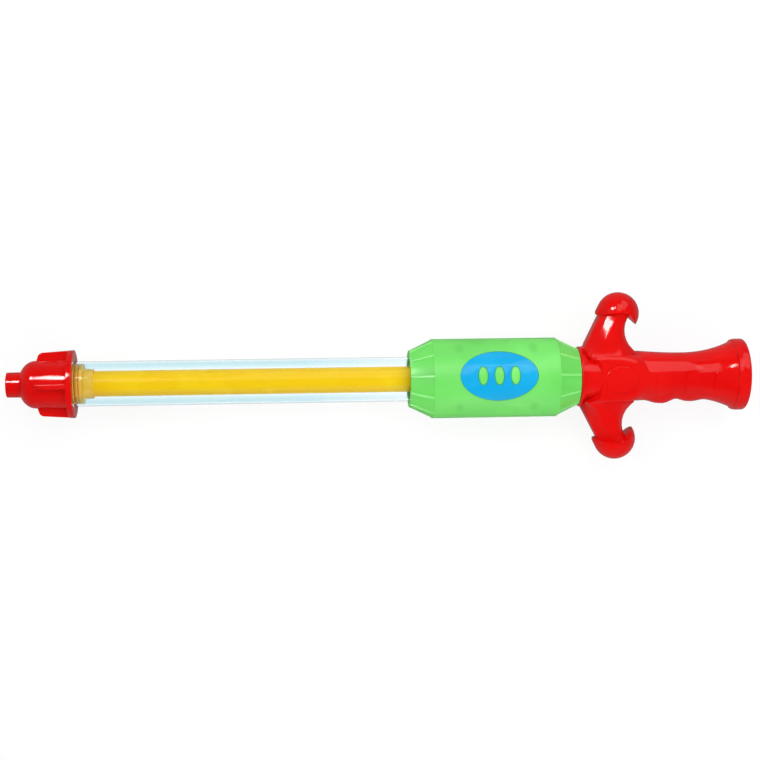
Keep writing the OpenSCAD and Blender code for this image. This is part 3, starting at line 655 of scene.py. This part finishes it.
def makeHandle():
    h, m = handleSizes, medalSizes
    medal = ovalBar("medallion", (handleX + m["x"], 0), m["length"], m["width"], axisZ - m["top"],
                    axisZ + m["top"], sides=72)
    softenEdges(medal, m["soft"], segments=4)
    forms = [makeHandleCore(), medal] + makeFingerPads()
    for side in (1, -1):
        forms += [makeGuardArm(side), makeGuardBall(side)]
    return splitShells(forms, ("handleUpperShell", "handleLowerShell"), h["partGap"], h["roll"],
                       smooth=30, added=makeGuardFace)


nozzleCap = makeNozzleCap()
print("nozzle cap modelled")
barrelTube = pipePiece("barrelTube", barrelSizes, 144)
plungerRod = pipePiece("plungerRod", rodSizes, 96)
pistonHead = makePistonHead()
print("barrel and plunger modelled")
sleeveUpper, sleeveLower = makeSleeve()
inlayUpper, inlayLower = makeInlay(1), makeInlay(-1)
print("sleeve and inlays modelled")
handleUpper, handleLower = makeHandle()
print("handle modelled")


# materials

def newGroup(name, inputs, outputs):
    group = bpy.data.node_groups.new(name, "ShaderNodeTree")
    for label, kind, value in inputs:
        socket = group.interface.new_socket(name=label, in_out="INPUT", socket_type=kind)
        if value is not None:
            socket.default_value = value
    for label, kind in outputs:
        group.interface.new_socket(name=label, in_out="OUTPUT", socket_type=kind)
    return group, group.nodes.new("NodeGroupInput"), group.nodes.new("NodeGroupOutput")


flowSetup = {"detail": 3.0, "warp": 0.8, "low": 0.3, "high": 0.7, "fineDetail": 2.0, "fineShare": 0.35,
             "depth": 0.0003}


def makeMouldFlow():  # slow flow marks and fine texture of moulded plastic
    f = flowSetup
    group, start, end = newGroup(
        "mouldFlow",
        [("Place", "NodeSocketVector", None), ("FlowScale", "NodeSocketFloat", 14.0),
         ("FineScale", "NodeSocketFloat", 900.0), ("RoughLow", "NodeSocketFloat", 0.2),
         ("RoughHigh", "NodeSocketFloat", 0.3)],
        [("Flow", "NodeSocketFloat"), ("Rough", "NodeSocketFloat"), ("Height", "NodeSocketFloat")])
    links = group.links
    flow = group.nodes.new("ShaderNodeTexNoise")
    flow.inputs["Detail"].default_value = f["detail"]
    flow.inputs["Distortion"].default_value = f["warp"]
    links.new(start.outputs["Place"], flow.inputs["Vector"])
    links.new(start.outputs["FlowScale"], flow.inputs["Scale"])
    fine = group.nodes.new("ShaderNodeTexNoise")
    fine.inputs["Detail"].default_value = f["fineDetail"]
    links.new(start.outputs["Place"], fine.inputs["Vector"])
    links.new(start.outputs["FineScale"], fine.inputs["Scale"])
    spread = group.nodes.new("ShaderNodeMapRange")
    spread.inputs["From Min"].default_value = f["low"]
    spread.inputs["From Max"].default_value = f["high"]
    links.new(flow.outputs["Fac"], spread.inputs["Value"])
    rough = group.nodes.new("ShaderNodeMapRange")
    links.new(flow.outputs["Fac"], rough.inputs["Value"])
    links.new(start.outputs["RoughLow"], rough.inputs["To Min"])
    links.new(start.outputs["RoughHigh"], rough.inputs["To Max"])
    height = group.nodes.new("ShaderNodeMath")
    height.operation = "MULTIPLY_ADD"
    height.inputs[1].default_value = f["fineShare"]
    links.new(fine.outputs["Fac"], height.inputs[0])
    links.new(flow.outputs["Fac"], height.inputs[2])
    links.new(spread.outputs["Result"], end.inputs["Flow"])
    links.new(rough.outputs["Result"], end.inputs["Rough"])
    links.new(height.outputs["Value"], end.inputs["Height"])
    return group


mouldFlow = makeMouldFlow()


def startMaterial(name):
    material = bpy.data.materials.new(name)
    material.use_nodes = True
    tree = material.node_tree
    return material, tree, tree.nodes["Principled BSDF"], tree.nodes.new("ShaderNodeTexCoord")


def srgb(r, g, b):
    def line(c):
        c /= 255
        return c / 12.92 if c <= 0.04045 else ((c + 0.055) / 1.055) ** 2.4
    return (line(r), line(g), line(b), 1.0)


def mouldedPlastic(name, finish):
    material, tree, shader, coord = startMaterial(name)
    flow = tree.nodes.new("ShaderNodeGroup")
    flow.node_tree = mouldFlow
    for label in ("FlowScale", "FineScale", "RoughLow", "RoughHigh"):
        flow.inputs[label].default_value = finish[label]
    tree.links.new(coord.outputs["Object"], flow.inputs["Place"])
    tint = tree.nodes.new("ShaderNodeMix")
    tint.data_type = "RGBA"
    tint.inputs["A"].default_value = finish["deep"]
    tint.inputs["B"].default_value = finish["light"]
    tree.links.new(flow.outputs["Flow"], tint.inputs["Factor"])
    tree.links.new(tint.outputs["Result"], shader.inputs["Base Color"])
    tree.links.new(flow.outputs["Rough"], shader.inputs["Roughness"])
    bump = tree.nodes.new("ShaderNodeBump")
    bump.inputs["Strength"].default_value = finish["bump"]
    bump.inputs["Distance"].default_value = flowSetup["depth"]
    tree.links.new(flow.outputs["Height"], bump.inputs["Height"])
    tree.links.new(bump.outputs["Normal"], shader.inputs["Normal"])
    shader.inputs["IOR"].default_value = finish.get("ior", 1.5)
    shader.inputs["Specular IOR Level"].default_value = finish.get("specular", 0.5)
    return material, tree, shader, tint


redFinish = {"deep": srgb(226, 8, 8), "light": srgb(236, 16, 14), "FlowScale": 22.0, "FineScale": 1400.0,
             "RoughLow": 0.06, "RoughHigh": 0.13, "bump": 0.05, "specular": 0.32}
greenFinish = {"deep": srgb(112, 226, 98), "light": srgb(128, 244, 112), "FlowScale": 16.0,
               "FineScale": 1500.0, "RoughLow": 0.24, "RoughHigh": 0.36, "bump": 0.1}
# lighter copy of the green for the ribs: a painted highlight
litRibFinish = dict(greenFinish, deep=srgb(146, 244, 134), light=srgb(160, 250, 148))
blueFinish = {"deep": srgb(14, 172, 234), "light": srgb(26, 188, 242), "FlowScale": 26.0, "FineScale": 1500.0,
              "RoughLow": 0.1, "RoughHigh": 0.2, "bump": 0.06, "specular": 0.36}
yellowFinish = {"deep": srgb(255, 206, 0), "light": srgb(255, 215, 6), "FlowScale": 18.0, "FineScale": 1200.0,
                "RoughLow": 0.2, "RoughHigh": 0.34, "bump": 0.015, "specular": 0.16}
amberFinish = {"deep": srgb(240, 194, 58), "light": srgb(250, 212, 74), "FlowScale": 40.0,
               "FineScale": 1400.0, "RoughLow": 0.2, "RoughHigh": 0.34, "bump": 0.05, "specular": 0.3}
whiteFinish = {"deep": srgb(226, 226, 222), "light": srgb(240, 240, 236), "FlowScale": 40.0,
               "FineScale": 1400.0, "RoughLow": 0.35, "RoughHigh": 0.5, "bump": 0.1}
blackRubberFinish = {"deep": srgb(24, 24, 25), "light": srgb(40, 40, 41), "FlowScale": 60.0,
                     "FineScale": 2200.0, "RoughLow": 0.55, "RoughHigh": 0.75, "bump": 0.25}
tanRubberFinish = {"deep": srgb(224, 164, 56), "light": srgb(236, 182, 68), "FlowScale": 60.0,
                   "FineScale": 2200.0, "RoughLow": 0.3, "RoughHigh": 0.5, "bump": 0.15}
steelFinish = {"deep": srgb(176, 180, 186), "light": srgb(206, 208, 212), "FlowScale": 90.0,
               "FineScale": 2600.0, "RoughLow": 0.22, "RoughHigh": 0.4, "bump": 0.1}
tubeFinish = {"deep": srgb(253, 254, 255), "light": srgb(255, 255, 255), "FlowScale": 12.0,
              "FineScale": 500.0, "RoughLow": 0.02, "RoughHigh": 0.05, "bump": 0.003, "ior": 1.22}
# painted shadow: four soft dark spots where the inner screw posts stand behind the green
postShade = {"x": 29.0, "y": 22.7, "reach": 5.5, "core": 0.5, "shade": srgb(88, 190, 80), "amount": 0.28}
tubeShade = {"clear": srgb(255, 255, 255), "edge": srgb(226, 240, 244), "through": srgb(252, 253, 254),
             "steps": ((0.24, srgb(222, 239, 242)), (0.6, srgb(218, 236, 240)), (0.86, srgb(226, 240, 244))),
             "clearTo": 0.14, "fadeFrom": -0.06, "fadeTo": 0.03, "fadeLeft": 0.45}


def makeGreenPlastic():
    p = postShade
    material, tree, shader, tint = mouldedPlastic("greenPlastic", greenFinish)
    # painted shadow of the inner screw posts, darkening the green around each post
    coord = tree.nodes.new("ShaderNodeTexCoord")
    place = tree.nodes.new("ShaderNodeMapping")  # centred on the sleeve
    place.inputs["Location"].default_value = (-sleeveMiddle * mm, 0, 0)
    fold = tree.nodes.new("ShaderNodeVectorMath")  # one post stands for all four
    fold.operation = "ABSOLUTE"
    flat = tree.nodes.new("ShaderNodeVectorMath")
    flat.operation = "MULTIPLY"
    flat.inputs[1].default_value = (1, 1, 0)
    gap = tree.nodes.new("ShaderNodeVectorMath")
    gap.operation = "DISTANCE"
    gap.inputs[1].default_value = (p["x"] * mm, p["y"] * mm, 0)
    fade = tree.nodes.new("ShaderNodeMapRange")
    fade.interpolation_type = "SMOOTHSTEP"
    fade.inputs["From Min"].default_value = p["reach"] * mm
    fade.inputs["From Max"].default_value = p["core"] * mm
    fade.inputs["To Max"].default_value = p["amount"]
    mix = tree.nodes.new("ShaderNodeMix")
    mix.data_type = "RGBA"
    mix.inputs["B"].default_value = p["shade"]
    tree.links.new(coord.outputs["Object"], place.inputs["Vector"])
    tree.links.new(place.outputs["Vector"], fold.inputs[0])
    tree.links.new(fold.outputs["Vector"], flat.inputs[0])
    tree.links.new(flat.outputs["Vector"], gap.inputs[0])
    tree.links.new(gap.outputs["Value"], fade.inputs["Value"])
    tree.links.new(fade.outputs["Result"], mix.inputs["Factor"])
    tree.links.new(tint.outputs["Result"], mix.inputs["A"])
    tree.links.new(mix.outputs["Result"], shader.inputs["Base Color"])
    return material


def makeScrewSteel():
    material, tree, shader, tint = mouldedPlastic("screwSteel", steelFinish)
    shader.inputs["Metallic"].default_value = 1.0
    return material


def makeClearPlastic():
    t = tubeShade
    material, tree, shader, tint = mouldedPlastic("clearPlastic", tubeFinish)
    shader.inputs["Transmission Weight"].default_value = 1.0
    facing = tree.nodes.new("ShaderNodeLayerWeight")  # the wall looks blue where it is seen at a slant
    facing.inputs["Blend"].default_value = 0.5
    ramp = tree.nodes.new("ShaderNodeValToRGB")
    steps = ramp.color_ramp.elements
    steps[0].position = t["clearTo"]
    steps[0].color = t["clear"]
    steps[1].color = t["edge"]
    for position, tone in t["steps"]:
        steps.new(position).color = tone
    blue = tree.nodes.new("ShaderNodeMix")
    blue.data_type = "RGBA"
    blue.blend_type = "MULTIPLY"
    place = tree.nodes.new("ShaderNodeSeparateXYZ")
    fade = tree.nodes.new("ShaderNodeMapRange")  # the blue grows paler towards the sleeve
    fade.inputs["From Min"].default_value = t["fadeFrom"]
    fade.inputs["From Max"].default_value = t["fadeTo"]
    fade.inputs["To Min"].default_value = 1.0
    fade.inputs["To Max"].default_value = t["fadeLeft"]
    tree.links.new(tree.nodes["Texture Coordinate"].outputs["Object"], place.inputs["Vector"])
    tree.links.new(place.outputs["X"], fade.inputs["Value"])
    tree.links.new(fade.outputs["Result"], blue.inputs["Factor"])
    tree.links.new(facing.outputs["Facing"], ramp.inputs["Fac"])
    tree.links.new(tint.outputs["Result"], blue.inputs["A"])
    tree.links.new(ramp.outputs["Color"], blue.inputs["B"])
    tree.links.new(blue.outputs["Result"], shader.inputs["Base Color"])
    through = tree.nodes.new("ShaderNodeBsdfTransparent")  # light reaches the rod through the clear wall
    through.inputs["Color"].default_value = t["through"]
    path = tree.nodes.new("ShaderNodeLightPath")
    unseen = tree.nodes.new("ShaderNodeMath")
    unseen.operation = "MAXIMUM"
    tree.links.new(path.outputs["Is Shadow Ray"], unseen.inputs[0])
    tree.links.new(path.outputs["Is Diffuse Ray"], unseen.inputs[1])
    mix = tree.nodes.new("ShaderNodeMixShader")
    tree.links.new(unseen.outputs["Value"], mix.inputs["Fac"])
    tree.links.new(shader.outputs["BSDF"], mix.inputs[1])
    tree.links.new(through.outputs["BSDF"], mix.inputs[2])
    tree.links.new(mix.outputs["Shader"], tree.nodes["Material Output"].inputs["Surface"])
    return material


redPlastic = mouldedPlastic("redPlastic", redFinish)[0]
greenPlastic = makeGreenPlastic()
litRibPlastic = mouldedPlastic("litRibPlastic", litRibFinish)[0]
bluePlastic = mouldedPlastic("bluePlastic", blueFinish)[0]
yellowPlastic = mouldedPlastic("yellowPlastic", yellowFinish)[0]
amberPlastic = mouldedPlastic("amberPlastic", amberFinish)[0]
whitePlastic = mouldedPlastic("whitePlastic", whiteFinish)[0]
blackRubber = mouldedPlastic("blackRubber", blackRubberFinish)[0]
tanRubber = mouldedPlastic("tanRubber", tanRubberFinish)[0]
screwSteel = makeScrewSteel()
clearPlastic = makeClearPlastic()
print("materials made")


def paintRibHighlights(shell):  # the ribs get a lighter copy of the green: a painted highlight along them
    s, r = sleeveSizes, ribSizes

    def onRibFoot(point):
        x = min(point.x - sleeveX, sleeveX + s["length"] - point.x)
        return x < r["footL"] and math.hypot(point.y, point.z - axisZ) > s["endR"] + r["footLift"]
    shell.data.materials.append(litRibPlastic)
    openPiece(shell)
    pickPoints(shell, onRibFoot)
    bpy.ops.mesh.select_linked()
    shell.active_material_index = 1
    bpy.ops.object.material_slot_assign()
    closePiece()


def dressPiece(piece, material, slot, body, *nodes):
    piece.data.materials.clear()
    piece.data.materials.append(material)
    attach(piece, body)
    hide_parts(*nodes)


dressPiece(nozzleCap, redPlastic, "red_plastic", "barrel", "nozzle_cap")
dressPiece(barrelTube, clearPlastic, "clear_plastic", "barrel", "barrel_tube")
dressPiece(plungerRod, yellowPlastic, "yellow_plastic", "plunger", "plunger_rod")
dressPiece(pistonHead, amberPlastic, "amber_plastic", "plunger", "piston_head")
dressPiece(sleeveUpper, greenPlastic, "green_plastic", "barrel", "sleeve_upper_shell")
dressPiece(sleeveLower, greenPlastic, "green_plastic", "barrel", "sleeve_lower_shell")
dressPiece(inlayUpper, bluePlastic, "blue_plastic", "barrel", "inlay_upper")
dressPiece(inlayLower, bluePlastic, "blue_plastic", "barrel", "inlay_lower")
dressPiece(handleUpper, redPlastic, "red_plastic", "plunger", "handle_upper_shell")
dressPiece(handleLower, redPlastic, "red_plastic", "plunger", "handle_lower_shell")

carriedNodes = {"nozzle_washer": blackRubber, "rod_guide": whitePlastic, "sleeve_screws": screwSteel,
                "front_seal": tanRubber, "rear_seal": tanRubber, "piston_screw": screwSteel,
                "rod_front_plug": whitePlastic, "rod_rear_plug": whitePlastic, "rod_cross_pin": screwSteel,
                "handle_screws": screwSteel}
for node, material in carriedNodes.items():
    held = frame["nodes"][node]
    held.data.materials.clear()
    held.data.materials.append(material)
for shell in (sleeveUpper, sleeveLower):
    paintRibHighlights(shell)
print("pieces dressed")


# camera, floor and light

cameraSetup = {"place": (-0.08675, -0.0004, 1.2778), "sensor": 36.0, "lens": 75.79, "nearest": 0.01,
               "yaw": 3.933, "roll": 0.87}
floorSetup = {"size": 9.0, "under": 0.0004, "tone": 0.15, "lift": 0.87, "glossLift": 0.18}
worldSetup = {"walls": (0.1, 0.2), "ceiling": (0.8, 0.06), "seenTone": 1.0, "seenBelow": (0.9, 0.7)}
capAim, handleAim, sideAim = (-0.25, 0.0, 0.03), (0.24, 0.0, 0.03), (0.14, 0.0, 0.03)
lampSetup = {"handleBox": {"place": (0.86, 1.1, 1.15), "aim": handleAim, "size": (0.9, 1.5), "power": 6.0},
             "sleeveBox": {"place": (0.14, 0.72, 1.3), "aim": (0.06, 0.0, 0.03), "size": (0.56, 1.0),
                           "power": 2.6},
             "stripBox": {"place": (-0.87, 0.78, 1.3), "aim": capAim, "size": (0.4, 0.38), "power": 17.0,
                          "diffuse": False},
             "tubeStrip": {"place": (-0.44, 0.78, 1.3), "aim": capAim, "size": (0.09, 0.3), "power": 3.0,
                           "diffuse": False},
             "stripFill": {"place": (-0.72, 0.78, 1.3), "aim": capAim, "size": (0.5, 0.5), "power": 2.4,
                           "glossy": False},
             "fillBox": {"place": (0.3, 0.0, 1.8), "aim": (0.2, 0.0, 0.0), "size": (2.8, 3.0), "power": 19.8,
                         "glossy": False},
             "sideFill": {"place": (0.85, -1.2, 0.7), "aim": (0.28, 0.0, 0.03), "size": (1.2, 1.0),
                          "power": 6.6, "glossy": False},
             "endFill": {"place": (-0.9, 0.2, 0.8), "aim": (0.25, 0.0, 0.03), "size": (1.0, 1.0), "power": 1.0,
                         "glossy": False, "spread": 40},
             "nearFill": {"place": (0.16, -1.3, 0.3), "aim": sideAim, "size": (0.9, 0.5), "power": 0.6,
                          "glossy": False, "spread": 50},
             "farFill": {"place": (0.16, 1.3, 0.3), "aim": sideAim, "size": (0.9, 0.5), "power": 0.45,
                         "glossy": False, "spread": 50}}


def addCamera():
    c = cameraSetup
    lens = bpy.data.cameras.new("photoCamera")
    lens.sensor_width = c["sensor"]
    lens.lens = c["lens"]
    lens.clip_start = c["nearest"]
    camera = bpy.data.objects.new("photoCamera", lens)
    bpy.context.scene.collection.objects.link(camera)
    yaw = Matrix.Rotation(-math.radians(c["yaw"]), 4, "Y")
    roll = Matrix.Rotation(-math.radians(c["roll"]), 4, "Z")
    camera.matrix_world = Matrix.Translation(c["place"]) @ yaw @ roll
    bpy.context.scene.camera = camera


def makeFloorPaint():  # its glow is for the camera, the clear tube and a little for reflections
    f = floorSetup
    paint = bpy.data.materials.new("floorPaint")
    paint.use_nodes = True
    tree = paint.node_tree
    tree.nodes.clear()
    out = tree.nodes.new("ShaderNodeOutputMaterial")
    diffuse = tree.nodes.new("ShaderNodeBsdfDiffuse")
    diffuse.inputs["Color"].default_value = (f["tone"],) * 3 + (1.0,)
    glow = tree.nodes.new("ShaderNodeEmission")
    both = tree.nodes.new("ShaderNodeAddShader")
    path = tree.nodes.new("ShaderNodeLightPath")
    seen = tree.nodes.new("ShaderNodeMath")
    seen.operation = "MAXIMUM"
    lift = tree.nodes.new("ShaderNodeMath")
    lift.operation = "MULTIPLY"
    lift.inputs[1].default_value = f["lift"]
    glossLift = tree.nodes.new("ShaderNodeMath")
    glossLift.operation = "MULTIPLY_ADD"
    glossLift.inputs[1].default_value = f["glossLift"]
    tree.links.new(path.outputs["Is Camera Ray"], seen.inputs[0])
    tree.links.new(path.outputs["Is Transmission Ray"], seen.inputs[1])
    tree.links.new(seen.outputs["Value"], lift.inputs[0])
    tree.links.new(path.outputs["Is Glossy Ray"], glossLift.inputs[0])
    tree.links.new(lift.outputs["Value"], glossLift.inputs[2])
    tree.links.new(glossLift.outputs["Value"], glow.inputs["Strength"])
    tree.links.new(diffuse.outputs["BSDF"], both.inputs[0])
    tree.links.new(glow.outputs["Emission"], both.inputs[1])
    tree.links.new(both.outputs["Shader"], out.inputs["Surface"])
    return paint


def addFloor():
    restSelection()
    bpy.ops.mesh.primitive_plane_add(size=floorSetup["size"], location=(0, 0, -floorSetup["under"]))
    studioFloor = bpy.context.object
    studioFloor.name = "studioFloor"
    studioFloor.data.materials.append(makeFloorPaint())


def addWorld():
    w = worldSetup
    world = bpy.data.worlds.new("studioWorld")
    bpy.context.scene.world = world
    world.use_nodes = True
    tree = world.node_tree
    coord = tree.nodes.new("ShaderNodeTexCoord")
    split = tree.nodes.new("ShaderNodeSeparateXYZ")
    ramp = tree.nodes.new("ShaderNodeValToRGB")  # pale walls under a dark ceiling
    ramp.color_ramp.interpolation = "EASE"
    for step, (position, tone) in zip(ramp.color_ramp.elements, (w["walls"], w["ceiling"])):
        step.position = position
        step.color = (tone, tone, tone, 1)
    path = tree.nodes.new("ShaderNodeLightPath")
    seen = tree.nodes.new("ShaderNodeMath")
    seen.operation = "MAXIMUM"
    mix = tree.nodes.new("ShaderNodeMix")  # white where the camera or the clear tube looks straight at it
    mix.data_type = "RGBA"
    mix.inputs["B"].default_value = (w["seenTone"],) * 3 + (1.0,)
    low = tree.nodes.new("ShaderNodeMapRange")  # the ceiling stays dark behind the clear tube
    low.inputs["From Min"].default_value, low.inputs["From Max"].default_value = w["seenBelow"]
    through = tree.nodes.new("ShaderNodeMath")
    through.operation = "MULTIPLY"
    tree.links.new(coord.outputs["Generated"], split.inputs["Vector"])
    tree.links.new(split.outputs["Z"], ramp.inputs["Fac"])
    tree.links.new(split.outputs["Z"], low.inputs["Value"])
    tree.links.new(low.outputs["Result"], through.inputs[0])
    tree.links.new(path.outputs["Is Transmission Ray"], through.inputs[1])
    tree.links.new(path.outputs["Is Camera Ray"], seen.inputs[0])
    tree.links.new(through.outputs["Value"], seen.inputs[1])
    tree.links.new(seen.outputs["Value"], mix.inputs["Factor"])
    tree.links.new(ramp.outputs["Color"], mix.inputs["A"])
    tree.links.new(mix.outputs["Result"], tree.nodes["Background"].inputs["Color"])
    tree.nodes["Background"].inputs["Strength"].default_value = 1.0


def addLamp(name, setup):
    light = bpy.data.lights.new(name, "AREA")
    light.shape = "RECTANGLE"
    light.size, light.size_y = setup["size"]
    light.energy = setup["power"]
    if "spread" in setup:
        light.spread = math.radians(setup["spread"])
    lamp = bpy.data.objects.new(name, light)
    bpy.context.scene.collection.objects.link(lamp)
    lamp.location = setup["place"]
    lamp.rotation_euler = (Vector(setup["aim"]) - Vector(setup["place"])).to_track_quat("-Z", "Y").to_euler()
    lamp.visible_camera = lamp.visible_transmission = False  # its own shape is not seen through the tube
    lamp.visible_diffuse = setup.get("diffuse", True)  # a strip gives highlights only
    lamp.visible_glossy = setup.get("glossy", True)  # a fill gives none


addCamera()
addFloor()
addWorld()
for name, setup in lampSetup.items():
    addLamp(name, setup)
print("studio set up")

bpy.context.scene.view_settings.view_transform = "Standard"
